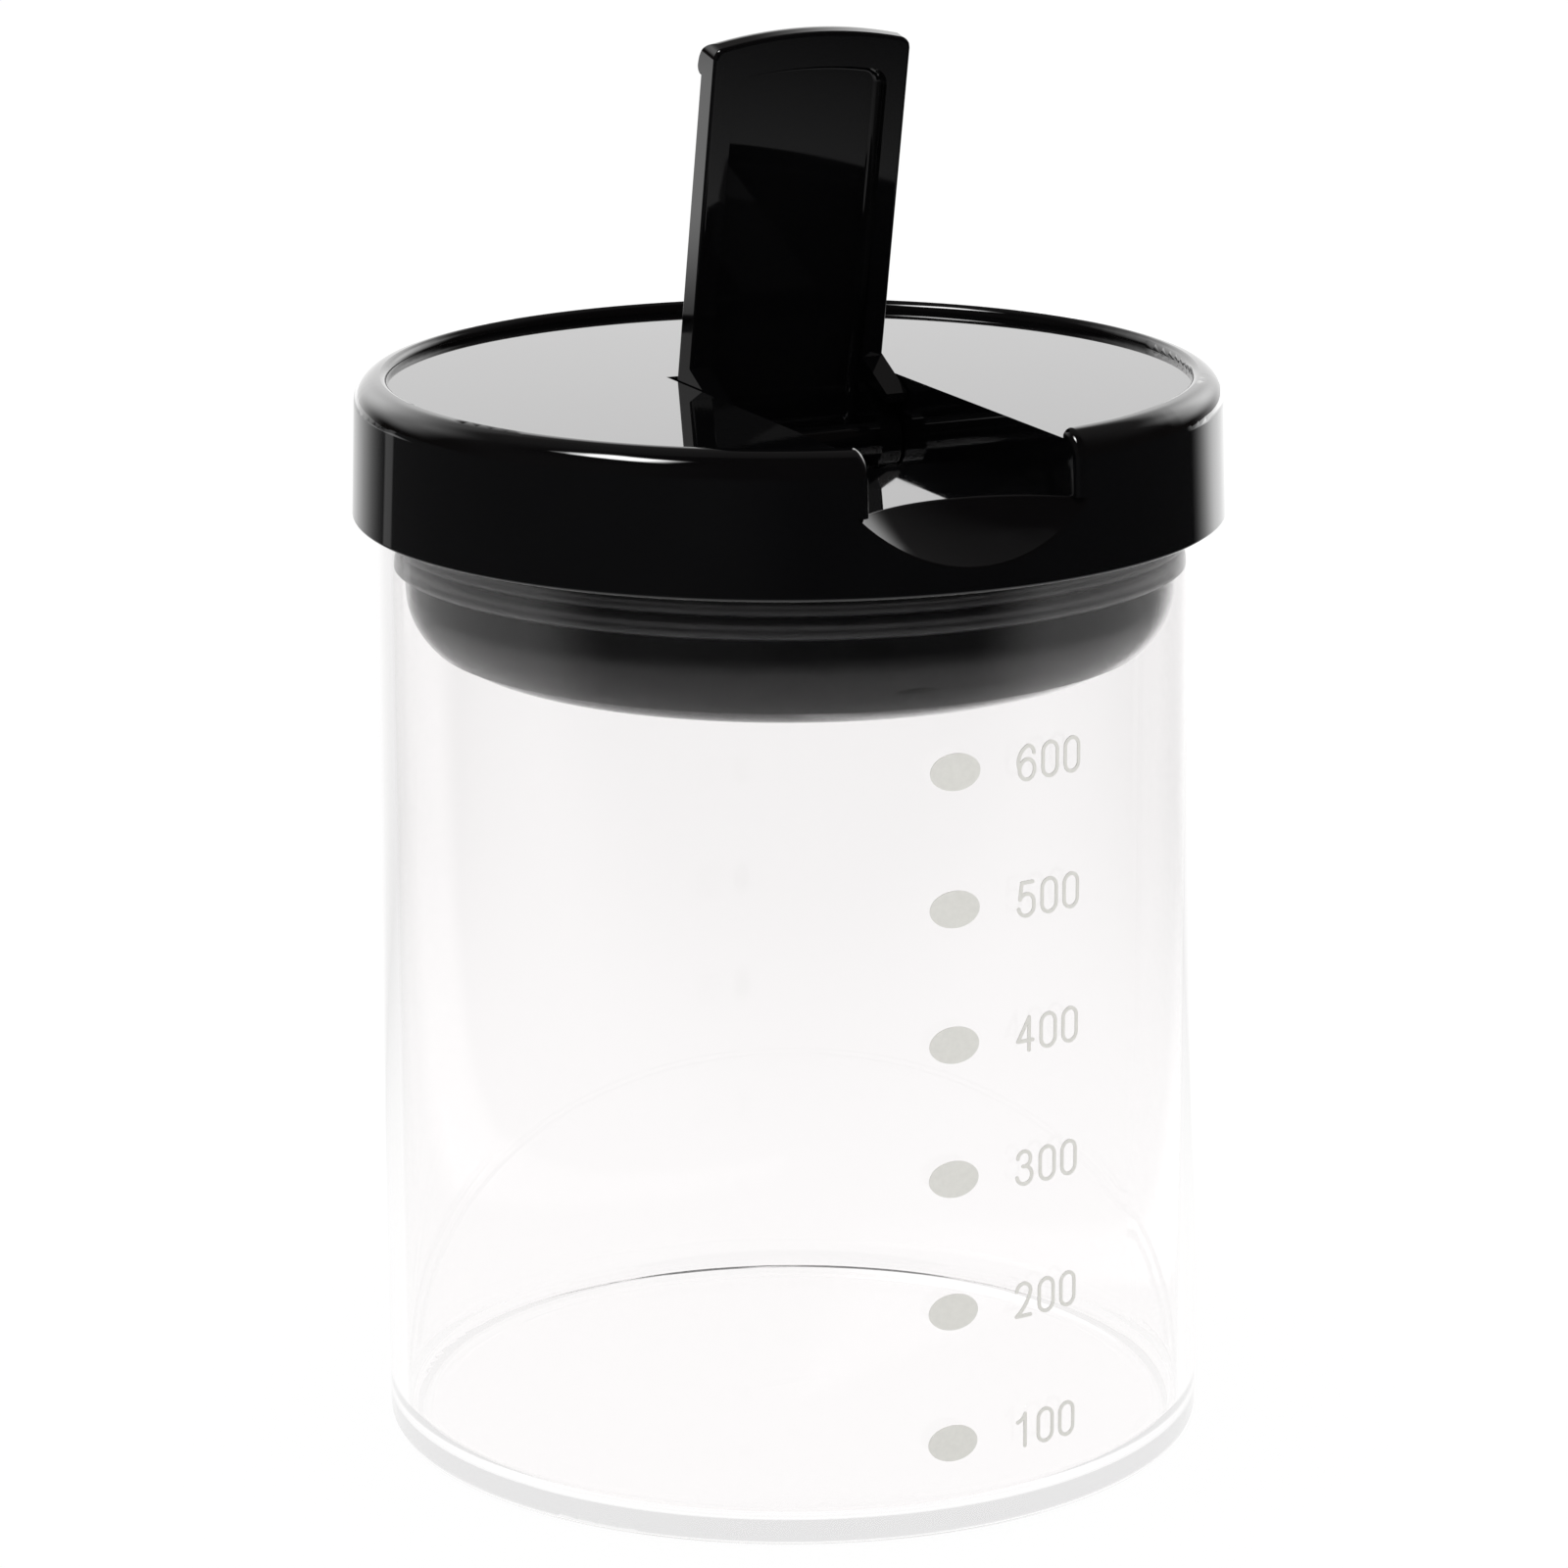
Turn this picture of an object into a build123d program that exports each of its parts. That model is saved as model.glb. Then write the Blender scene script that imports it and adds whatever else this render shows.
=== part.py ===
from build123d import *
import os
from math import acos, asin, cos, degrees, hypot, pi, radians, sin, sqrt

# Storage jar of clear glass with a two-part black lid and a flip-up pouring flap.
# The origin is the centre of the base, +Z is up, the spout points along -Y and
# the flap turns about an axis along X. Lengths are in millimetres.
# In names and comments, "out" is the distance from the jar's axis towards the spout.

# glass jar
jar_radius = 47.5
jar_height = 110.0
glass_wall = 2.0
glass_base = 2.4
base_corner = 1.8
inner_corner = 3.0
foot_width = 4.5
punt_rise = 0.9
rim_round = 0.7

# printed scale, six oval dots with a numeral beside each
scale_count = 6
scale_first = 11.3
scale_step = 15.4
dot_width = 5.9
dot_height = 4.2
dot_bearing = -2.5
ink_thickness = 0.12
digit_width = 2.4
digit_height = 4.2
digit_pitch = 3.13
digit_stroke = 0.42
numeral_bearing = 12.0

# lid cover
skirt_gap = 0.75
skirt_wall = 1.6
skirt_overlap = 1.65
skirt_edge_round = 0.4
lid_rise = 13.25
lid_draft = 0.4
lid_skin = 2.0
bead_rise = 1.13
bead_round = 3.0
bead_width = 3.9

# pouring slot, channel and the well under the slot
slot_half_width = 12.25
slot_back = 6.8
slot_corner_round = 0.9
channel_depth = 6.05
channel_floor = 1.5
hole_front = 23.0
hole_edge_round = 0.9
well_wall = 1.5
well_back = 8.8

# thumb scoop, a hollow with the shape of a ball, as wide as the slot and a little more
scoop_lip_inset = 7.99
scoop_overhang = 1.74
scoop_depth = 6.04
scoop_wall = 1.2
scoop_edge_round = 0.35

# pouring flap
flap_side_gap = 0.25
flap_depth = 3.55
flap_skin = 1.7
flap_border = 2.6
flap_tip_border = 4.0
flap_tail = 6.45
flap_tip_round = 1.4
flap_top_round = 0.3
flap_edge_round = 0.45
recess_corner = 2.2
recess_roof_round = 0.9
flap_open_angle = 78.5

# hinge: its axis is below the disc, and the pin stubs run in the well's side walls
pivot_out = 1.65
pivot_drop = 7.45
pin_radius = 1.25
pin_clearance = 0.06
pin_end_gap = 0.2
barrel_radius = 1.9
ear_thickness = 2.6
ear_hub_radius = 3.2
ear_tab_top = 8.65
ear_tab_low = 6.65
ear_tab_drop = 3.1
ear_tab_thickness = 1.1

# inner plug
plug_gap = 1.5
plug_wall = 1.5
plug_depth = 18.1
plug_round = 9.5
plug_step_height = 2.3
plug_step_inset = 0.35
flange_thickness = 1.0
flange_rim_inset = 0.5
plug_shoulder = 2.0
groove_height = 5.0
groove_depth = 1.0
neck_inset = 3.6
neck_wall = 1.5
neck_fit = 0.1
socket_wall = 1.4
socket_depth = 8.2
neck_notch_gap = 0.5

# seal ring
seal_clearance = 0.25
seal_seat = 0.05
seal_base = 1.2
seal_lobes = 2

inner_radius = jar_radius - glass_wall
lid_radius = jar_radius + skirt_gap + skirt_wall
lid_top_radius = lid_radius - lid_draft
lid_bottom = jar_height - skirt_overlap
disc_level = jar_height + lid_rise
skin_level = disc_level - lid_skin
crest_level = disc_level + bead_rise
channel_level = disc_level - channel_depth
plug_top = jar_height + flange_thickness
plug_bottom = jar_height - plug_depth
plug_radius = inner_radius - plug_gap
groove_top = jar_height - plug_shoulder
groove_bottom = groove_top - groove_height
groove_radius = plug_radius - groove_depth
neck_radius = inner_radius - neck_inset
pivot_level = disc_level - pivot_drop
flap_half_width = slot_half_width - flap_side_gap
flap_underside = disc_level - flap_depth
well_half_width = slot_half_width + well_wall
far = 2 * lid_radius


def turned(outline):
    # a closed outline of radius and height, turned about the jar's axis
    return revolve(make_face(Plane.XZ * outline), Axis.Z)


def block(half_width, back, front, low, high):
    # a box across the spout's line, from "back" to "front" measured outwards
    size = Box(2 * half_width, front - back, high - low)
    return Pos(0, -(front + back) / 2, (high + low) / 2) * size


def dome(rise, half_width, level):
    # the arc of a shallow ball centred on the axis, whose top is at the level
    ball = (rise**2 + half_width**2) / (2 * rise)
    return CenterArc((0, level - ball), ball, 90, -degrees(asin(half_width / ball)))


def across(side_view, left, right):
    # a side view drawn as (out, height), thickened along X from left to right
    plane = Plane(origin=(left, 0, 0), x_dir=(0, -1, 0), z_dir=(-1, 0, 0))
    return extrude(plane * side_view, amount=right - left, dir=(1, 0, 0))


def rod(radius, left, right):
    # a round bar along the hinge axis
    bar = Rot(0, 90, 0) * Cylinder(radius, right - left)
    return Pos((left + right) / 2, -pivot_out, pivot_level) * bar


def make_glass_jar():
    foot_outer = jar_radius - base_corner
    foot_inner = foot_outer - foot_width
    floor_edge = inner_radius - inner_corner
    floor_centre = glass_base + punt_rise
    rim_low = jar_height - rim_round
    outline = dome(punt_rise, foot_inner, punt_rise)
    outline += Line((foot_inner, 0), (foot_outer, 0))
    outline += CenterArc((foot_outer, base_corner), base_corner, 270, 90)
    outline += Line((jar_radius, base_corner), (jar_radius, rim_low))
    outline += CenterArc((jar_radius - rim_round, rim_low), rim_round, 0, 90)
    outline += Line((jar_radius - rim_round, jar_height), (inner_radius + rim_round, jar_height))
    outline += CenterArc((inner_radius + rim_round, rim_low), rim_round, 90, 90)
    outline += Line((inner_radius, rim_low), (inner_radius, glass_base + inner_corner))
    outline += CenterArc((floor_edge, glass_base + inner_corner), inner_corner, 270, 90)
    outline += dome(punt_rise, floor_edge, floor_centre)
    outline += Line((0, floor_centre), (0, punt_rise))
    return turned(outline)


def stroke(*edges):
    # one pen stroke of the numerals, with round joints and ends
    drawn = Sketch()
    for edge in edges:
        drawn += trace(edge, digit_stroke)
        drawn += Pos(edge @ 0) * Circle(digit_stroke / 2)
        drawn += Pos(edge @ 1) * Circle(digit_stroke / 2)
    return drawn


def digit(number):
    # the pen's path stays inside the digit's width and height
    a = (digit_width - digit_stroke) / 2
    b = (digit_height - digit_stroke) / 2

    def arc(start, middle, end):
        points = [(x * a, y * b) for x, y in (start, middle, end)]
        return ThreePointArc(*points)

    def line(start, end):
        return Line((start[0] * a, start[1] * b), (end[0] * a, end[1] * b))

    if number == 0:
        outer = SlotOverall(digit_height, digit_width, rotation=90)
        inner_size = (digit_height - 2 * digit_stroke, digit_width - 2 * digit_stroke)
        return outer - SlotOverall(*inner_size, rotation=90)
    if number == 1:
        return stroke(line((0.3, -1), (0.3, 1)), arc((0.3, 1), (-0.1, 0.7), (-0.7, 0.52)))
    if number == 2:
        top = arc((-0.95, 0.55), (0, 1), (0.95, 0.5))
        side = arc((0.95, 0.5), (0.65, 0.05), (-0.95, -1))
        return stroke(top, side, line((-0.95, -1), (0.95, -1)))
    if number == 3:
        top = arc((-0.9, 0.6), (-0.05, 1), (0.8, 0.52))
        upper = arc((0.8, 0.52), (0.45, 0.16), (-0.2, 0.08))
        lower = arc((-0.2, 0.08), (0.68, -0.08), (1, -0.45))
        return stroke(top, upper, lower, arc((1, -0.45), (0, -1), (-1, -0.55)))
    if number == 4:
        slant = line((0.5, 1), (-1, -0.4))
        return stroke(line((0.5, -1), (0.5, 1)), slant, line((-1, -0.4), (1, -0.4)))
    if number == 5:
        back = line((-0.6, 1), (-0.85, 0.02))
        bowl = arc((-0.85, 0.02), (0.5, 0.25), (1, -0.32))
        return stroke(line((0.85, 1), (-0.6, 1)), back, bowl, arc((1, -0.32), (0, -1), (-1, -0.55)))
    ring_height = 0.6 * b
    bowl = Ellipse(a + digit_stroke / 2, ring_height + digit_stroke / 2)
    bowl -= Ellipse(a - digit_stroke / 2, ring_height - digit_stroke / 2)
    stem = arc((-1, -0.35), (-0.72, 0.7), (0.05, 1))
    return Pos(0, ring_height - b) * bowl + stroke(stem, arc((0.05, 1), (0.62, 0.88), (0.9, 0.55)))


def printed(sketch, bearing, level, skin):
    # wraps a flat sketch on the glass at a bearing from the spout, in degrees
    turn = radians(bearing)
    outward = (sin(turn), -cos(turn), 0)
    start = jar_radius / 2
    origin = (start * outward[0], start * outward[1], level)
    plane = Plane(origin=origin, x_dir=(cos(turn), sin(turn), 0), z_dir=outward)
    return extrude(plane * sketch, amount=jar_radius) & skin


def make_printed_scale():
    height = scale_first + scale_step * scale_count
    skin = Cylinder(jar_radius + ink_thickness, 2 * height) - Cylinder(jar_radius, 2 * height)
    pitch_angle = digit_pitch / jar_radius * 180 / pi
    marks = []
    for row in range(scale_count):
        level = scale_first + row * scale_step
        dot = Ellipse(dot_width / 2, dot_height / 2)
        marks += printed(dot, dot_bearing, level, skin).solids()
        for place, number in enumerate((row + 1, 0, 0)):
            bearing = numeral_bearing + (place - 1) * pitch_angle
            marks += printed(digit(number), bearing, level, skin).solids()
    return Compound(children=marks)


def lid_envelope():
    # the lid's outer shape before the slot and the scoop are cut
    crest_radius = lid_top_radius - bead_round
    foot_radius = lid_top_radius - bead_width
    arc_low = crest_level - bead_round
    bend = 0.29
    inner_mid = (
        foot_radius + (crest_radius - foot_radius) * bend,
        crest_level - bead_rise * bend,
    )
    edge = skirt_edge_round
    outline = Line((0, lid_bottom), (lid_radius - edge, lid_bottom))
    outline += CenterArc((lid_radius - edge, lid_bottom + edge), edge, 270, 90)
    outline += Line((lid_radius, lid_bottom + edge), (lid_top_radius, arc_low))
    outline += CenterArc((crest_radius, arc_low), bead_round, 0, 90)
    outline += ThreePointArc((crest_radius, crest_level), inner_mid, (foot_radius, disc_level))
    outline += Line((foot_radius, disc_level), (0, disc_level))
    outline += Line((0, disc_level), (0, lid_bottom))
    return turned(outline)


def scoop_ball(extra):
    # the ball goes through the lip's middle, the two ends of the scoop on the
    # skirt at the channel's level, and the scoop's lowest point on the skirt
    lip_out = lid_radius - scoop_lip_inset
    end_side = slot_half_width + scoop_overhang
    end_out = sqrt(lid_radius**2 - end_side**2)
    centre_out = (lid_radius**2 - lip_out**2) / (2 * (end_out - lip_out))
    lip_reach = centre_out - lip_out
    skirt_reach = centre_out - lid_radius
    centre_rise = (lip_reach**2 - skirt_reach**2 - scoop_depth**2) / (2 * scoop_depth)
    radius = hypot(lip_reach, centre_rise) + extra
    ball = Pos(0, -centre_out, channel_level + centre_rise) * Sphere(radius)
    return ball & block(far, 0, far, 0, channel_level)


def near_level(value, level):
    return abs(value - level) < 0.01


def scoop_edges(cover):
    # the arc where the scoop leaves the skirt, and the lip above it
    chosen = []
    for edge in cover.edges():
        middle = edge.center()
        outer_arc = middle.Y < -lid_top_radius and middle.Z < channel_level
        in_channel = middle.Y < -hole_front - 1 and near_level(middle.Z, channel_level)
        if near_level(middle.X, 0) and (outer_arc or in_channel):
            chosen.append(edge)
    return chosen


def mouth_edges(cover):
    # both sides of the slot where it goes through the bead and the skirt
    foot_radius = lid_top_radius - bead_width
    chosen = []
    for edge in cover.edges():
        middle = edge.center()
        on_side = near_level(abs(middle.X), slot_half_width)
        above = middle.Z > channel_level + 0.1
        if on_side and above and middle.Y < -0.9 * foot_radius:
            chosen.append(edge)
    return chosen


def hole_edge(cover):
    # where the channel's floor ends at the pouring hole
    ends = cover.edges().filter_by(Axis.X)
    return [
        edge
        for edge in ends
        if near_level(edge.center().Y, -hole_front) and near_level(edge.center().Z, channel_level)
    ]


def make_lid_cover():
    envelope = lid_envelope()
    cavity_low = Line((0, 0), (lid_radius - skirt_wall, 0))
    cavity_low += Line((lid_radius - skirt_wall, 0), (lid_radius - skirt_wall, lid_bottom))
    cavity_side = Line((lid_radius - skirt_wall, lid_bottom), (lid_top_radius - skirt_wall, skin_level))
    cavity_top = Line((lid_top_radius - skirt_wall, skin_level), (0, skin_level))
    cavity = turned(cavity_low + cavity_side + cavity_top + Line((0, skin_level), (0, 0)))

    socket_inner = neck_radius + neck_fit
    socket_level = skin_level - socket_depth / 2
    socket = Cylinder(socket_inner + socket_wall, socket_depth) - Cylinder(socket_inner, socket_depth)
    channel = block(well_half_width, hole_front, far, channel_level - channel_floor, disc_level)
    well = block(well_half_width, -well_back - well_wall, hole_front + well_wall, plug_top, skin_level)
    scoop_shell = scoop_ball(scoop_wall)

    inside = Pos(0, 0, socket_level) * socket + channel + well + scoop_shell
    cover = (envelope - cavity) + (inside & envelope)

    cover -= block(slot_half_width, -slot_back, hole_front, 0, 2 * disc_level)
    cover -= block(slot_half_width, -well_back, hole_front, 0, skin_level)
    cover -= block(slot_half_width, hole_front, far, channel_level, 2 * disc_level)
    cover -= scoop_ball(0)
    socket_end = well_half_width + well_wall
    cover -= rod(pin_radius + pin_clearance, -socket_end, socket_end)
    cover = fillet(scoop_edges(cover), scoop_edge_round)
    cover = fillet(hole_edge(cover), hole_edge_round)
    return fillet(mouth_edges(cover), slot_corner_round)


def make_inner_plug():
    # the bottom edge is one large rounding with a small step in it
    round_out = plug_radius - plug_round
    round_level = plug_bottom + plug_round - plug_step_inset
    step_level = plug_bottom + plug_step_height
    step_drop = round_level - step_level
    low_round = plug_round - plug_step_inset
    upper_turn = asin(step_drop / plug_round)
    lower_turn = asin(step_drop / low_round)
    bore = plug_radius - groove_depth - plug_wall
    inner_round = low_round - plug_wall
    bore_turn = acos((bore - round_out) / inner_round)
    bore_end = round_level - inner_round * sin(bore_turn)
    floor_level = plug_bottom + plug_wall
    shoulder = plug_radius + plug_gap / 3
    flange = jar_radius - flange_rim_inset
    neck_inner = neck_radius - neck_wall
    centre = (round_out, round_level)
    step_inner = (round_out + low_round * cos(lower_turn), step_level)
    step_outer = (round_out + plug_round * cos(upper_turn), step_level)
    outline = Line((0, plug_bottom), (round_out, plug_bottom))
    outline += CenterArc(centre, low_round, 270, 90 - degrees(lower_turn))
    outline += Line(step_inner, step_outer)
    outline += CenterArc(centre, plug_round, -degrees(upper_turn), degrees(upper_turn))
    outline += Polyline(
        (plug_radius, round_level),
        (plug_radius, groove_bottom),
        (groove_radius, groove_bottom),
        (groove_radius, groove_top),
        (shoulder, groove_top),
        (shoulder, jar_height),
        (flange, jar_height),
        (flange, plug_top),
        (neck_radius, plug_top),
        (neck_radius, skin_level),
        (neck_inner, skin_level),
        (neck_inner, jar_height),
        (bore, jar_height),
        (bore, bore_end),
    )
    outline += CenterArc(centre, inner_round, 270, 90 - degrees(bore_turn))
    outline += Line((round_out, floor_level), (0, floor_level))
    outline += Line((0, floor_level), (0, plug_bottom))
    plug = turned(outline)
    chute = block(well_half_width, -well_back - well_wall, hole_front + well_wall, plug_bottom, plug_top)
    plug += chute
    plug -= block(slot_half_width, -well_back, hole_front, 0, plug_top)
    notch_low = channel_level - channel_floor - neck_notch_gap
    plug -= block(well_half_width + neck_notch_gap, 0, far, notch_low, disc_level)
    return plug


def make_seal_ring():
    inner = groove_radius + seal_seat
    body = inner + seal_base
    tip = inner_radius - seal_clearance
    low = groove_bottom + seal_seat
    high = groove_top - seal_seat
    lobe = (high - low) / seal_lobes
    outline = Line((inner, high), (inner, low)) + Line((inner, low), (body, low))
    for number in range(seal_lobes):
        start = low + number * lobe
        end = start + lobe
        outline += ThreePointArc((body, start), (tip, (start + end) / 2), (body, end))
    outline += Line((body, high), (inner, high))
    return turned(outline)


def ear_outline():
    # hub round the pin, a web up to the flap and a stop tab in front of it
    tab_low = pivot_level - ear_tab_drop
    tab_front = pivot_out + ear_tab_top
    tab_foot = pivot_out + ear_tab_low
    web_top = flap_underside + flap_edge_round
    hub = Pos(pivot_out, pivot_level) * Circle(ear_hub_radius)
    web = make_face(
        Polyline(
            (pivot_out - ear_hub_radius, pivot_level),
            (pivot_out + ear_hub_radius, pivot_level),
            (tab_front - ear_tab_thickness, web_top),
            (pivot_out - flap_tail + flap_edge_round, web_top),
            close=True,
        )
    )
    tab = make_face(
        Polyline(
            (tab_front, web_top),
            (tab_foot, tab_low),
            (tab_foot - ear_tab_thickness, tab_low),
            (tab_front - 2 * ear_tab_thickness, web_top),
            close=True,
        )
    )
    return hub + web + tab


def flap_plan(tail):
    # seen from above, a strip with a square tail and round corners at the tip
    strip = Pos(0, -(tail + far) / 2) * Rectangle(2 * flap_half_width, far - tail)
    plan = strip & Circle(lid_top_radius)
    return fillet(plan.vertices().sort_by(Axis.Y)[0:2], flap_tip_round)


def flap_top_edges(flap):
    # the upper outline, except at the tip's middle, where the bead is round already
    tip_side = flap_half_width / 2
    chosen = []
    for edge in flap.edges():
        middle = edge.center()
        at_tail = near_level(middle.X, 0) and middle.Y > 0
        if middle.Z > disc_level - 0.01 and (abs(middle.X) > tip_side or at_tail):
            chosen.append(edge)
    return chosen


def closed_flap():
    tail = pivot_out - flap_tail
    strip = extrude(Pos(0, 0, flap_underside) * flap_plan(tail), amount=far)
    flap = (strip & lid_envelope()).solid()
    flap = fillet(flap_top_edges(flap), flap_top_round)
    rim_edges = flap.faces().sort_by(Axis.Z)[0].edges()
    flap = fillet(rim_edges, flap_edge_round)

    recess_roof = disc_level - flap_skin
    recess = block(flap_half_width - flap_border, tail + flap_border, far, flap_underside, recess_roof)
    recess &= Cylinder(lid_top_radius - flap_tip_border, 4 * disc_level)
    recess = fillet(recess.edges().filter_by(Axis.Z), recess_corner)
    recess = fillet(recess.faces().sort_by(Axis.Z)[-1].edges(), recess_roof_round)
    flap -= recess

    for left in (-flap_half_width, flap_half_width - ear_thickness):
        flap += across(ear_outline(), left, left + ear_thickness)
    flap += rod(barrel_radius, ear_thickness - flap_half_width, flap_half_width - ear_thickness)
    pin_end = well_half_width - pin_end_gap
    flap += rod(pin_radius, flap_half_width, pin_end)
    flap += rod(pin_radius, -pin_end, -flap_half_width)
    return flap


def make_pour_flap():
    hinge = Axis((0, -pivot_out, pivot_level), (-1, 0, 0))
    return closed_flap().rotate(hinge, flap_open_angle)


os.makedirs("parts", exist_ok=True)
pieces = {
    "glass_jar": make_glass_jar(),
    "printed_scale": make_printed_scale(),
    "lid_cover": make_lid_cover(),
    "inner_plug": make_inner_plug(),
    "seal_ring": make_seal_ring(),
    "pour_flap": make_pour_flap(),
}
for name, piece in pieces.items():
    export_step(piece, f"parts/{name}.step")
    print(name, len(piece.solids()), "solids", round(piece.volume / 1000, 2), "cm3")
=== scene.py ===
from math import cos, radians, sin

import bpy
from mathutils import Matrix, Vector

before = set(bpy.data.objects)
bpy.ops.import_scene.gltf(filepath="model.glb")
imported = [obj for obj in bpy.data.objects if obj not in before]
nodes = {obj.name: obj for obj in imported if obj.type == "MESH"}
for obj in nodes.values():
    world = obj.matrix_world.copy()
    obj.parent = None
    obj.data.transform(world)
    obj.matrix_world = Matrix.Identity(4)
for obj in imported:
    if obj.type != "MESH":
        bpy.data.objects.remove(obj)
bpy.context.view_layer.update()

scene = bpy.context.scene
mm = 0.001
print("frame loaded:", ", ".join(sorted(nodes)))


# colours and node helpers

def hexToLinear(code):
    # sRGB hex to the linear colour that the shaders take
    parts = [int(code[i:i + 2], 16) / 255 for i in (1, 3, 5)]
    linear = [c / 12.92 if c <= 0.04045 else ((c + 0.055) / 1.055) ** 2.4 for c in parts]
    return (*linear, 1.0)


def perMetre(millimetres):
    # texture scale for a pattern whose features are that far apart
    return 1 / (millimetres * mm)


def newTree(owner):
    owner.use_nodes = True
    owner.node_tree.nodes.clear()
    return owner.node_tree


def addNode(tree, kind, settings=None, links=None):
    # one node, its settings by property or socket, and what feeds its sockets
    node = tree.nodes.new(kind)
    for key, value in (settings or {}).items():
        if isinstance(key, str) and hasattr(node, key):
            setattr(node, key, value)
        else:
            node.inputs[key].default_value = value
    for key, source in (links or {}).items():
        tree.links.new(source, node.inputs[key])
    return node


def mathNode(tree, operation, *values):
    # arithmetic on numbers and sockets
    node = addNode(tree, "ShaderNodeMath", {"operation": operation})
    for place, value in enumerate(values):
        if isinstance(value, (int, float)):
            node.inputs[place].default_value = value
        else:
            tree.links.new(value, node.inputs[place])
    return node.outputs[0]


def dressNode(nodeName, material):
    # gives a CAD piece its finish, its mesh stays as it is
    slots = nodes[nodeName].data.materials
    slots.clear()
    slots.append(material)


def mixTone(tree, share, low, high):
    # from one sRGB hex tone to another
    mix = addNode(tree, "ShaderNodeMix",
                  {"data_type": "RGBA", 6: hexToLinear(low), 7: hexToLinear(high)}, {0: share})
    return mix.outputs[2]


# black plastics: moulded ABS, polished mould, so near mirror gloss with a
# faint long waviness from shrinkage and a slightly duller skin in patches

def glossBlack(name, look):
    material = bpy.data.materials.new(name)
    tree = newTree(material)
    place = addNode(tree, "ShaderNodeTexCoord")
    shrink = addNode(tree, "ShaderNodeTexNoise",
                     {"Scale": perMetre(look["waveLength"]), "Detail": 1.0, "Roughness": 0.4},
                     {"Vector": place.outputs["Object"]})
    haze = addNode(tree, "ShaderNodeTexNoise",
                   {"Scale": perMetre(look["hazeSize"]), "Detail": 4.0, "Roughness": 0.55},
                   {"Vector": place.outputs["Object"]})
    hazeFrom, hazeTo = look["hazeSpan"]
    rough = addNode(tree, "ShaderNodeMapRange",
                    {"From Min": hazeFrom, "From Max": hazeTo,
                     "To Min": look["roughLow"], "To Max": look["roughHigh"]},
                    {"Value": haze.outputs["Fac"]})
    tone = mixTone(tree, haze.outputs["Fac"], look["deep"], look["pale"])
    wave = addNode(tree, "ShaderNodeBump",
                   {"Strength": look["waveStrength"], "Distance": look["waveDepth"] * mm},
                   {"Height": shrink.outputs["Fac"]})
    shader = addNode(tree, "ShaderNodeBsdfPrincipled", {"IOR": look["ior"]},
                     {"Base Color": tone, "Roughness": rough.outputs["Result"],
                      "Normal": wave.outputs["Normal"]})
    addNode(tree, "ShaderNodeOutputMaterial", links={"Surface": shader.outputs["BSDF"]})
    return material


coverLook = {
    "deep": "#050506",      # jet black pigment, deeper than most ABS
    "pale": "#080809",
    "ior": 1.52,
    "waveLength": 24.0,     # mm between shrinkage waves
    "waveStrength": 0.12,
    "waveDepth": 0.05,
    "hazeSize": 9.0,        # mm across a duller patch
    "hazeSpan": (0.35, 0.75),
    "roughLow": 0.02,
    "roughHigh": 0.05,
}
coverPlastic = glossBlack("mouldedGlossAbs", coverLook)
dressNode("lid_cover", coverPlastic)

flapLook = dict(coverLook, waveLength=16.0, roughHigh=0.07)
flapPlastic = glossBlack("mouldedGlossAbsFlap", flapLook)
dressNode("pour_flap", flapPlastic)

# the plug is plain polypropylene: softer gloss, so its reflections spread
plugLook = {
    "deep": "#060607",
    "pale": "#0a0a0b",
    "ior": 1.49,
    "waveLength": 18.0,
    "waveStrength": 0.15,
    "waveDepth": 0.06,
    "hazeSize": 6.0,
    "hazeSpan": (0.35, 0.75),
    "roughLow": 0.10,
    "roughHigh": 0.18,
}
plugPlastic = glossBlack("mouldedPolypropylene", plugLook)
dressNode("inner_plug", plugPlastic)

# silicone seal: satin skin with a fine bloom of dust, so no sharp reflections
sealLook = {
    "deep": "#0c0c0d",
    "pale": "#17171a",
    "ior": 1.43,
    "waveLength": 2.5,
    "waveStrength": 0.25,
    "waveDepth": 0.03,
    "hazeSize": 3.0,
    "hazeSpan": (0.35, 0.75),
    "roughLow": 0.32,
    "roughHigh": 0.48,
}
sealRubber = glossBlack("satinSilicone", sealLook)
dressNode("seal_ring", sealRubber)
print("black plastics and seal ready")


# borosilicate glass, blown and fire polished: colourless, a little grey where
# it is thick, and with a slow waviness in the wall

glassLook = {
    "tint": "#fbfafa",
    "ior": 1.47,
    "waveLength": 34.0,     # mm between waves left by blowing
    "waveStrength": 0.06,
    "waveDepth": 0.12,
    "waveStretch": 0.35,    # the waves are drawn out along the jar's axis
    "straightTint": "#f7f7f7",      # what each pass takes from light that goes straight on
    "turns": 2.5,           # light that turned more often than this goes straight on
}


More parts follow.
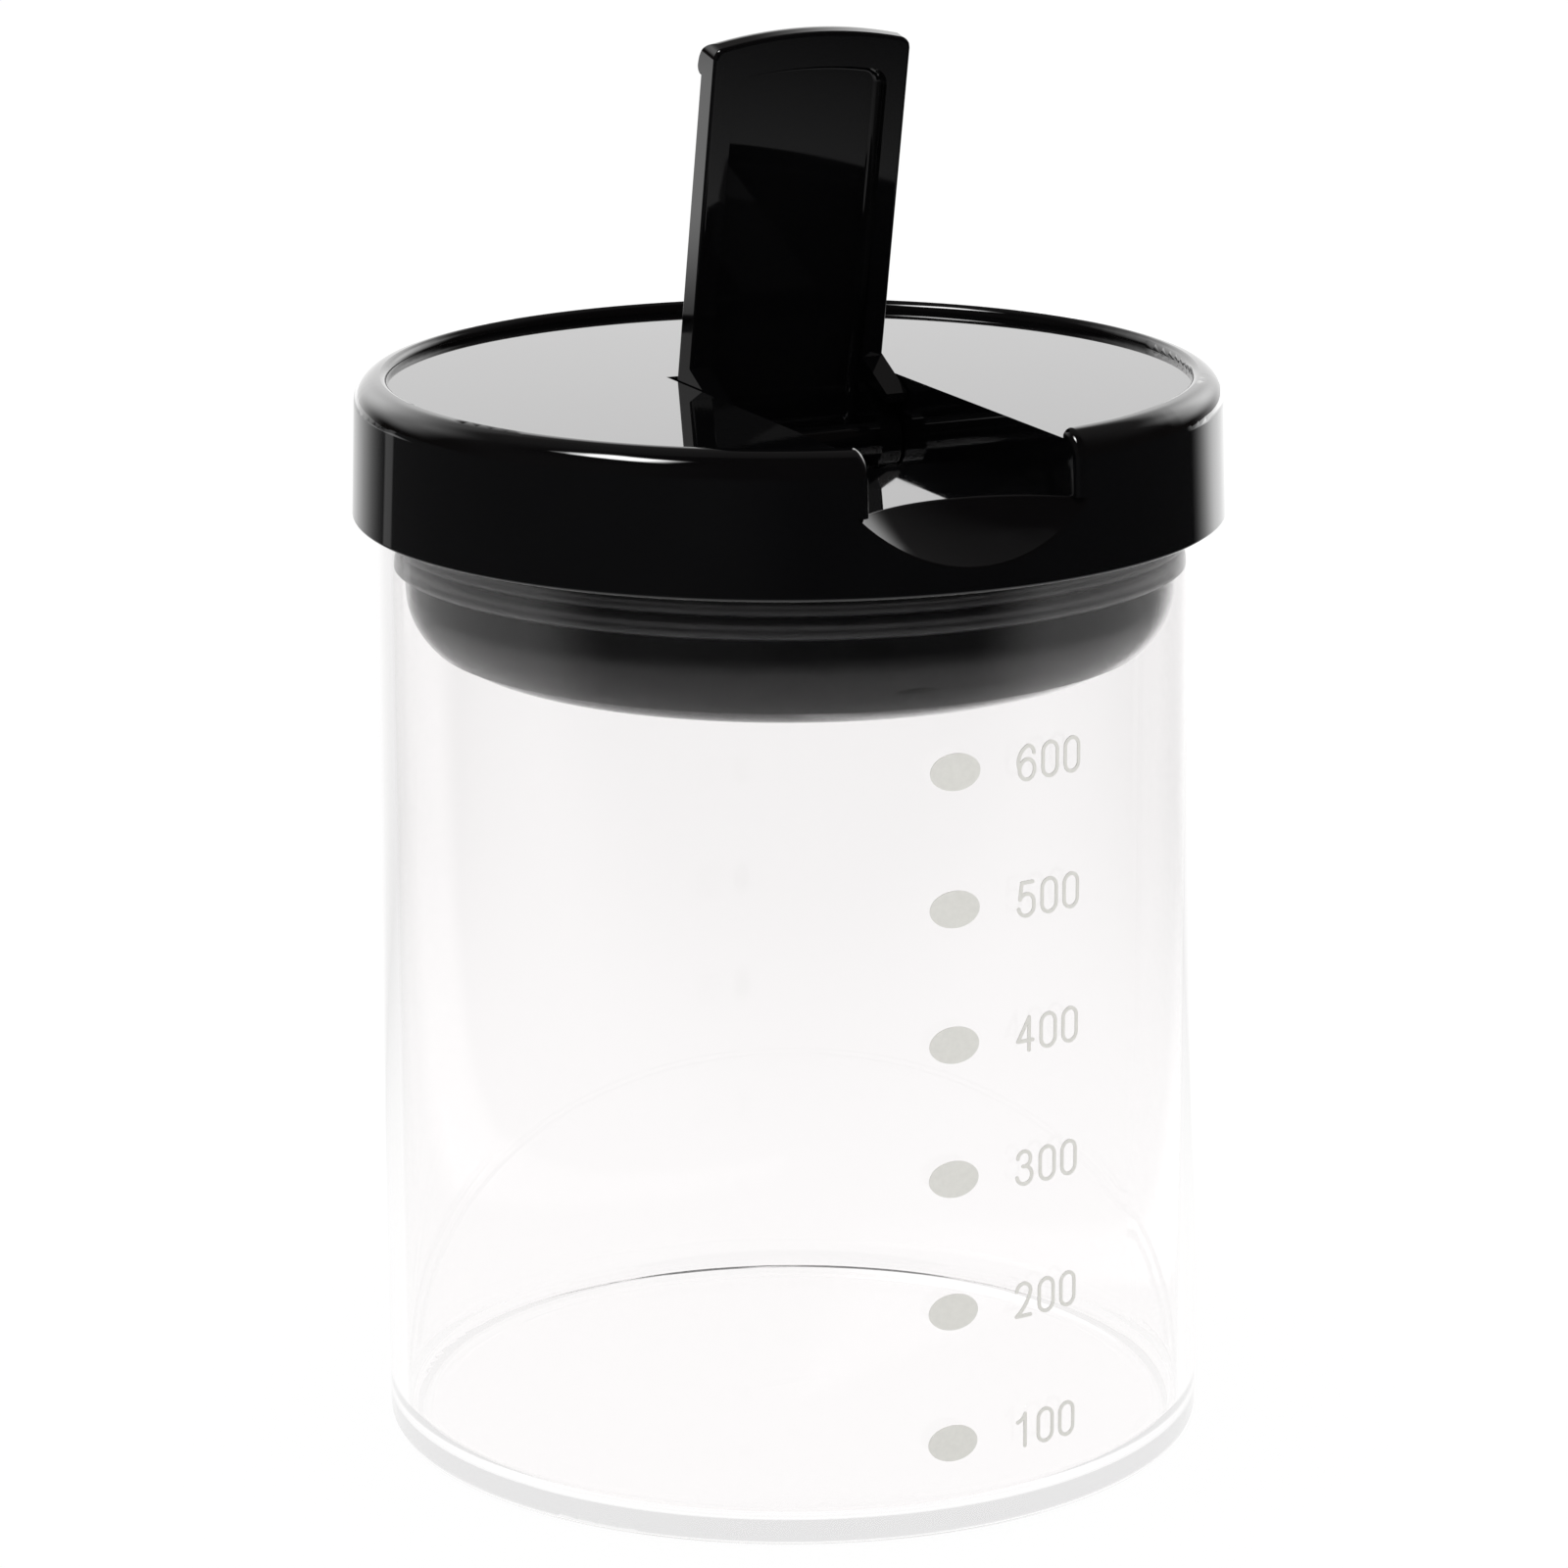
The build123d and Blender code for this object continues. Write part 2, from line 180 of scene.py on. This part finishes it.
def blownGlass(look):
    material = bpy.data.materials.new("blownBorosilicateGlass")
    tree = newTree(material)
    place = addNode(tree, "ShaderNodeTexCoord")
    draw = addNode(tree, "ShaderNodeMapping", {"Scale": (1.0, 1.0, look["waveStretch"])},
                   {"Vector": place.outputs["Object"]})
    slow = addNode(tree, "ShaderNodeTexNoise",
                   {"Scale": perMetre(look["waveLength"]), "Detail": 0.5, "Roughness": 0.3},
                   {"Vector": draw.outputs["Vector"]})
    wave = addNode(tree, "ShaderNodeBump",
                   {"Strength": look["waveStrength"], "Distance": look["waveDepth"] * mm},
                   {"Height": slow.outputs["Fac"]})
    glass = addNode(tree, "ShaderNodeBsdfPrincipled",
                    {"Base Color": hexToLinear(look["tint"]), "Roughness": 0.0,
                     "IOR": look["ior"], "Transmission Weight": 1.0},
                    {"Normal": wave.outputs["Normal"]})
    # room light reaches what stands behind the glass, so its shadow stays pale,
    # and light that keeps turning inside the wall leaves it
    clear = addNode(tree, "ShaderNodeBsdfTransparent", {"Color": hexToLinear(look["straightTint"])})
    path = addNode(tree, "ShaderNodeLightPath")
    matt = mathNode(tree, "MAXIMUM", path.outputs["Is Shadow Ray"], path.outputs["Is Diffuse Ray"])
    trapped = mathNode(tree, "GREATER_THAN", path.outputs["Glossy Depth"], look["turns"])
    mixed = addNode(tree, "ShaderNodeMixShader", None,
                    {0: mathNode(tree, "MAXIMUM", matt, trapped),
                     1: glass.outputs["BSDF"], 2: clear.outputs["BSDF"]})
    addNode(tree, "ShaderNodeOutputMaterial", links={"Surface": mixed.outputs["Shader"]})
    return material


dressNode("glass_jar", blownGlass(glassLook))

# ceramic ink, screen printed and fired: matt, a little thin at its edges and
# with the fine mottle of the screen
inkLook = {
    "full": "#e6e5e0",
    "thin": "#dad9d4",
    "mottle": 0.55,         # mm across a speck of the mottle
    "grainStrength": 0.2,
    "grainDepth": 0.02,
    "rough": 0.55,
    "ior": 1.5,
}


def firedInk(look):
    material = bpy.data.materials.new("firedCeramicInk")
    tree = newTree(material)
    place = addNode(tree, "ShaderNodeTexCoord")
    mottle = addNode(tree, "ShaderNodeTexNoise",
                     {"Scale": perMetre(look["mottle"]), "Detail": 2.0},
                     {"Vector": place.outputs["Object"]})
    tone = mixTone(tree, mottle.outputs["Fac"], look["thin"], look["full"])
    grain = addNode(tree, "ShaderNodeBump",
                    {"Strength": look["grainStrength"], "Distance": look["grainDepth"] * mm},
                    {"Height": mottle.outputs["Fac"]})
    shader = addNode(tree, "ShaderNodeBsdfPrincipled",
                     {"Roughness": look["rough"], "IOR": look["ior"]},
                     {"Base Color": tone, "Normal": grain.outputs["Normal"]})
    addNode(tree, "ShaderNodeOutputMaterial", links={"Surface": shader.outputs["BSDF"]})
    return material


dressNode("printed_scale", firedInk(inkLook))
print("glass and print ready")


# camera where the photograph was taken from

photoCamera = {
    "distance": 0.6778,     # along the floor, from the jar's axis
    "height": 0.2504,
    "azimuth": -24.5,       # degrees, to the left of the spout
    "swing": 0.065,         # how far it looks off the jar's axis
    "pitch": 14.455,        # looking down
    "roll": -0.22,
    "lens": 139.06,
    "sensor": 36.0,
    "clip": (0.02, 20.0),
}


def placeCamera(shot):
    data = bpy.data.cameras.new("photoCamera")
    data.lens = shot["lens"]
    data.sensor_width = shot["sensor"]
    data.clip_start, data.clip_end = shot["clip"]
    camera = bpy.data.objects.new("photoCamera", data)
    scene.collection.objects.link(camera)
    azimuth = radians(shot["azimuth"])
    heading = radians(shot["azimuth"] + shot["swing"])
    spot = Vector((sin(azimuth), -cos(azimuth), 0)) * shot["distance"]
    spot.z = shot["height"]
    turn = Matrix.Rotation(heading, 4, "Z")
    tilt = Matrix.Rotation(radians(90 - shot["pitch"]), 4, "X")
    roll = Matrix.Rotation(radians(shot["roll"]), 4, "Z")
    camera.matrix_world = Matrix.Translation(spot) @ turn @ tilt @ roll
    scene.camera = camera


placeCamera(photoCamera)


# studio: white paper under and behind the jar, a dark room in front of it.
# Bearings are in degrees from straight behind the jar, to the right as seen
# by the camera, and the paper's places are in metres on the same axes

studio = {
    "floorHalf": 3.0,
    "floorDrop": 0.05,      # mm below the foot
    "paper": "#f4f4f3",
    "shine": 1.02,          # the paper's own white to the camera
    "shineShare": 0.93,     # share of it that no shadow dims
    "roomLight": 1.0,       # even light on whatever is matt
    "seenThrough": 1.06,    # the white behind the glass, a little overexposed
    "darkRoom": "#ffe4d4",  # warm glimmer of the dark room in the gloss
    "glimmer": 0.02,
}

# painted reflection: the paper glows by place, only for rays that a gloss turned, with painted pools,
# streaks and patches of light. Places in metres, bearings in degrees. A ramp goes from where to where,
# and then from which brightness to which
paper = {
    "outward": (0.75, 1.15, 0.88, 1.57),    # painted brighter far from the jar
    "leftFade": (-56.0, -23.5),
    "rightFade": (55.0, 35.0),
    "sideLight": (0.0, 18.0, 1.16, 1.95),   # painted light, times brighter on the right
    "pool": (0.36, 0.08),                   # a painted pool of white light around the jar
    "dim": (-0.3, 0.1, 0.05, 0.02),         # the rest, painted a little lighter on the left
    "streakBearing": -54.2,                 # a painted thin streak of light at the left
    "streak": (3.4, 1.7, 0.0, 0.36),
    "streakStart": (0.4, 0.5),
    "spillPlace": (-0.78, 0.68),            # a painted patch of light, as if lit from the side, right and back
    "spill": (0.36, 0.12),
    "wallReach": (-0.32, -0.12),            # how far in front the jar's wall mirrors white
}

plugPasses = 4

# soft lights of the room: bearing, elevation, half width, half height,
# brightness and the share of each half that fades out
glows = {
    "wall": (0, 6, 50, 30, 1.57, 0.6),
    "ceiling": (0, 55, 100, 42, 0.08, 0.5),
    "rightCard": (36, 20, 24, 17, 1.5, 0.8),
    "leftCard": (-42, 24, 34, 22, 1.0, 0.8),
    "leftRoom": (-120, 15, 50, 40, 0.035, 0.8),
    "strip": (-115, 56, 26, 9, 26.0, 0.7),
}


def ramp(tree, value, start, end, low=0.0, high=1.0):
    # smooth step from low at start to high at end
    if start > end:
        start, end, low, high = end, start, high, low
    node = addNode(tree, "ShaderNodeMapRange",
                   {"interpolation_type": "SMOOTHSTEP", "From Min": start, "From Max": end,
                    "To Min": low, "To Max": high}, {"Value": value})
    return node.outputs["Result"]


def cameraAxes(tree, vector):
    # turns a place or direction to right, back and up as the camera stands
    turned = addNode(tree, "ShaderNodeVectorRotate",
                     {"rotation_type": "Z_AXIS", "Angle": -radians(photoCamera["azimuth"])},
                     {"Vector": vector})
    split = addNode(tree, "ShaderNodeSeparateXYZ", None, {0: turned.outputs[0]})
    return split.outputs["X"], split.outputs["Y"], split.outputs["Z"]


def product(tree, *values):
    result = values[0]
    for value in values[1:]:
        result = mathNode(tree, "MULTIPLY", result, value)
    return result


def distanceTo(tree, right, back, x, y):
    # on the floor, from the place x to the right and y to the back
    aside = mathNode(tree, "SUBTRACT", right, x)
    along = mathNode(tree, "SUBTRACT", back, y)
    return mathNode(tree, "SQRT", mathNode(
        tree, "ADD", product(tree, aside, aside), product(tree, along, along)))


def paintedPaperReflection(tree, right, back):
    # painted reflection: the brightness the paper glows with in the gloss, by place
    bearing = mathNode(tree, "DEGREES", mathNode(tree, "ARCTAN2", right, back))
    away = distanceTo(tree, right, back, 0.0, 0.0)
    sheet = product(tree, ramp(tree, away, *paper["outward"]),
                    ramp(tree, bearing, *paper["sideLight"]),
                    ramp(tree, bearing, *paper["leftFade"]),
                    ramp(tree, bearing, *paper["rightFade"]))
    aside = mathNode(tree, "ABSOLUTE",
                     mathNode(tree, "SUBTRACT", bearing, paper["streakBearing"]))
    streak = product(tree, ramp(tree, aside, *paper["streak"]),
                     ramp(tree, away, *paper["streakStart"]))
    pool = ramp(tree, away, *paper["pool"])
    spill = ramp(tree, distanceTo(tree, right, back, *paper["spillPlace"]), *paper["spill"])
    total = ramp(tree, right, *paper["dim"])
    for part in (sheet, pool, streak, spill):
        total = mathNode(tree, "MAXIMUM", total, part)
    return total


def isAbove(tree, value, count):
    # more than that many, for whole numbers
    return mathNode(tree, "GREATER_THAN", value, count + 0.5)


def opposite(tree, value):
    return mathNode(tree, "SUBTRACT", 1.0, value)


def wasTurned(tree, path):
    # by a gloss, but not so often that the glass let it go straight on
    turns = path.outputs["Glossy Depth"]
    return product(tree, isAbove(tree, turns, 0),
                   mathNode(tree, "LESS_THAN", turns, glassLook["turns"]))


def isMirrored(tree, path, back):
    # a ray that a gloss turned; one that only turned inside the jar's wall or
    # foot meets white like a ray that goes straight through. The plug behind
    # the wall is four passes through glass
    passes = path.outputs["Transmission Depth"]
    inWall = product(tree, opposite(tree, isAbove(tree, passes, plugPasses - 1)),
                     ramp(tree, back, *paper["wallReach"]))
    inFoot = isAbove(tree, passes, plugPasses)
    glassOnly = product(tree, path.outputs["Is Transmission Ray"],
                        mathNode(tree, "MAXIMUM", inWall, inFoot))
    return product(tree, wasTurned(tree, path), opposite(tree, glassOnly))


def paperMaterial():
    material = bpy.data.materials.new("matWhitePaperAndPaintedReflection")
    tree = newTree(material)
    path = addNode(tree, "ShaderNodeLightPath")
    place = addNode(tree, "ShaderNodeNewGeometry")
    lit = addNode(tree, "ShaderNodeBsdfDiffuse", {"Color": hexToLinear(studio["paper"])})
    white = addNode(tree, "ShaderNodeEmission", {"Strength": studio["shine"]})
    shine = mathNode(tree, "MULTIPLY", path.outputs["Is Camera Ray"], studio["shineShare"])
    seen = addNode(tree, "ShaderNodeMixShader", None,
                   {0: shine, 1: lit.outputs[0], 2: white.outputs[0]})
    through = addNode(tree, "ShaderNodeEmission", {"Strength": studio["seenThrough"]})
    often = mathNode(tree, "GREATER_THAN", path.outputs["Glossy Depth"], glassLook["turns"])
    pastGlass = mathNode(tree, "MAXIMUM", path.outputs["Is Transmission Ray"], often)
    glassy = addNode(tree, "ShaderNodeMixShader", None,
                     {0: pastGlass, 1: seen.outputs[0], 2: through.outputs[0]})
    right, back, _ = cameraAxes(tree, place.outputs["Position"])
    # painted reflection: the paper glows by place for rays that a gloss turned
    gloss = addNode(tree, "ShaderNodeEmission", None,
                    {"Strength": paintedPaperReflection(tree, right, back)})
    mixed = addNode(tree, "ShaderNodeMixShader", None,
                    {0: isMirrored(tree, path, back), 1: glassy.outputs[0], 2: gloss.outputs[0]})
    addNode(tree, "ShaderNodeOutputMaterial", links={"Surface": mixed.outputs[0]})
    return material


def paperFloor():
    half = studio["floorHalf"]
    mesh = bpy.data.meshes.new("paperFloor")
    mesh.from_pydata([(-half, -half, 0), (half, -half, 0), (half, half, 0), (-half, half, 0)],
                     [], [(0, 1, 2, 3)])
    mesh.materials.append(paperMaterial())
    floor = bpy.data.objects.new("paperFloor", mesh)
    floor.location.z = -studio["floorDrop"] * mm
    scene.collection.objects.link(floor)


def softPatch(tree, value, centre, half, fade):
    # 1 near the centre, falling to 0 at half on both sides
    away = mathNode(tree, "ABSOLUTE", mathNode(tree, "SUBTRACT", value, radians(centre)))
    return ramp(tree, away, radians(half), radians(half * (1 - fade)))


def background(tree, colour, strength):
    node = addNode(tree, "ShaderNodeBackground", {"Color": colour})
    if isinstance(strength, float):
        node.inputs["Strength"].default_value = strength
    else:
        tree.links.new(strength, node.inputs["Strength"])
    return node.outputs[0]


def roomLights(tree, right, back, up):
    # brightness of the room in the gloss, by direction
    bearing = mathNode(tree, "ARCTAN2", right, back)
    rise = mathNode(tree, "ARCSINE", up)
    total = 0.0
    for centre, height, halfWidth, halfHeight, brightness, fade in glows.values():
        glow = product(tree, softPatch(tree, rise, height, halfHeight, fade),
                       softPatch(tree, bearing, centre, halfWidth, fade))
        total = mathNode(tree, "MULTIPLY_ADD", glow, brightness, total)
    return total


def roomWorld():
    world = bpy.data.worlds.new("studioRoom")
    scene.world = world
    tree = newTree(world)
    path = addNode(tree, "ShaderNodeLightPath")
    place = addNode(tree, "ShaderNodeTexCoord")
    lights = roomLights(tree, *cameraAxes(tree, place.outputs["Generated"]))
    white = (1.0, 1.0, 1.0, 1.0)
    dark = background(tree, hexToLinear(studio["darkRoom"]), studio["glimmer"])
    mirrored = addNode(tree, "ShaderNodeAddShader", None, {0: background(tree, white, lights), 1: dark})

    def choose(mask, otherwise, chosen):
        mix = addNode(tree, "ShaderNodeMixShader", None, {0: mask, 1: otherwise, 2: chosen})
        return mix.outputs[0]

    through = path.outputs["Is Transmission Ray"]
    seen = choose(path.outputs["Is Camera Ray"], background(tree, white, studio["roomLight"]),
                  background(tree, white, 1.0))
    seen = choose(through, seen, background(tree, white, studio["seenThrough"]))
    seen = choose(product(tree, wasTurned(tree, path), opposite(tree, through)),
                  seen, mirrored.outputs[0])
    addNode(tree, "ShaderNodeOutputWorld", links={"Surface": seen})


paperFloor()
roomWorld()
scene.view_settings.view_transform = "Standard"

# the glass foot turns light round many times
scene.cycles.max_bounces = 32
scene.cycles.transmission_bounces = 32
scene.cycles.glossy_bounces = 16
print("studio and camera ready")
